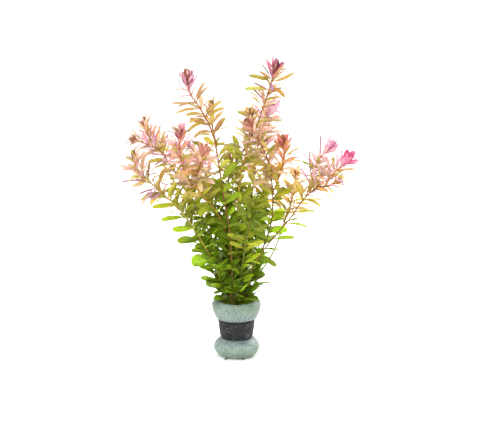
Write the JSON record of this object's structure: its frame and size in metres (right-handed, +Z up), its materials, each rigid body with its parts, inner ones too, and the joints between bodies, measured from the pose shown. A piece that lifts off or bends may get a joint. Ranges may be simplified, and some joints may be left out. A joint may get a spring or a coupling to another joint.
{
  "type": "rotala aquarium plant bunch",
  "caption": "Upright bunch of rotala stems for an aquarium, green below and pink at the tips, its foot held in a foam sleeve weighted by a wound lead strip.",
  "frame": {"origin": "on the floor in the middle of the foam sleeve's flat foot", "axes": "+Z up along the bunch, +X to the right and +Y away from the viewer of the picture"},
  "size_m": [0.173, 0.0956, 0.2221],
  "materials": {
    "green_leaf": "thin living leaf, slightly glossy",
    "green_shoot": "green stem and leaves",
    "olive_shoot": "yellow-green stem and leaves",
    "peach_shoot": "orange-brown stem, peach leaves",
    "pink_shoot": "pink young leaves",
    "cut_stem": "cut end of a stem",
    "foam": "wet pale green open-cell foam",
    "lead": "dull dark grey lead"
  },
  "bodies": {
    "root": {"branch_centre_left_fork": "pink_shoot", "branch_far_right_fork": "pink_shoot", "branch_far_right_twig": "pink_shoot", "branch_left_fork": "pink_shoot", "branch_right_fork": "pink_shoot", "branch_tall_left_fork": "pink_shoot", "foam_wrap": "foam", "leaf_far_left_1": "green_leaf", "leaf_far_left_2": "green_leaf", "leaf_far_left_3": "green_leaf", "leaf_far_left_4": "green_leaf", "leaf_far_left_5": "green_leaf", "leaf_far_left_6": "green_leaf", "leaf_far_left_7": "green_leaf", "leaf_far_left_8": "green_leaf", "leaf_far_right_1": "green_leaf", "leaf_far_right_2": "green_leaf", "leaf_far_right_3": "green_leaf", "leaf_far_right_4": "green_leaf", "leaf_far_right_5": "green_leaf", "leaf_front_1": "green_leaf", "leaf_front_2": "green_leaf", "leaf_left_1": "green_leaf", "leaf_left_2": "green_leaf", "leaf_rear_1": "green_leaf", "leaf_rear_left_1": "green_leaf", "leaf_rear_mid_1": "green_leaf", "leaf_rear_mid_2": "green_leaf", "leaf_rear_mid_3": "green_leaf", "leaf_rear_mid_4": "green_leaf", "leaf_rear_right_1": "green_leaf", "leaf_rear_right_2": "green_leaf", "leaf_rear_right_3": "green_leaf", "leaf_rear_right_4": "green_leaf", "leaf_right_1": "green_leaf", "leaf_tall_left_1": "green_leaf", "leaf_tall_left_2": "green_leaf", "leaf_tall_left_3": "green_leaf", "shoot_centre": "olive_shoot", "shoot_centre_left": "peach_shoot", "shoot_far_left": "olive_shoot", "shoot_far_right": "olive_shoot", "shoot_front": "green_shoot", "shoot_left": "olive_shoot", "shoot_low_right": "olive_shoot", "shoot_rear": "green_shoot", "shoot_rear_left": "peach_shoot", "shoot_rear_mid": "olive_shoot", "shoot_rear_right": "pink_shoot", "shoot_right": "olive_shoot", "shoot_tall_left": "peach_shoot", "shoot_tall_right": "peach_shoot", "stem_end_left": "cut_stem", "stem_end_right": "cut_stem", "weight_strip": "lead"}
  },
  "joints": []
}
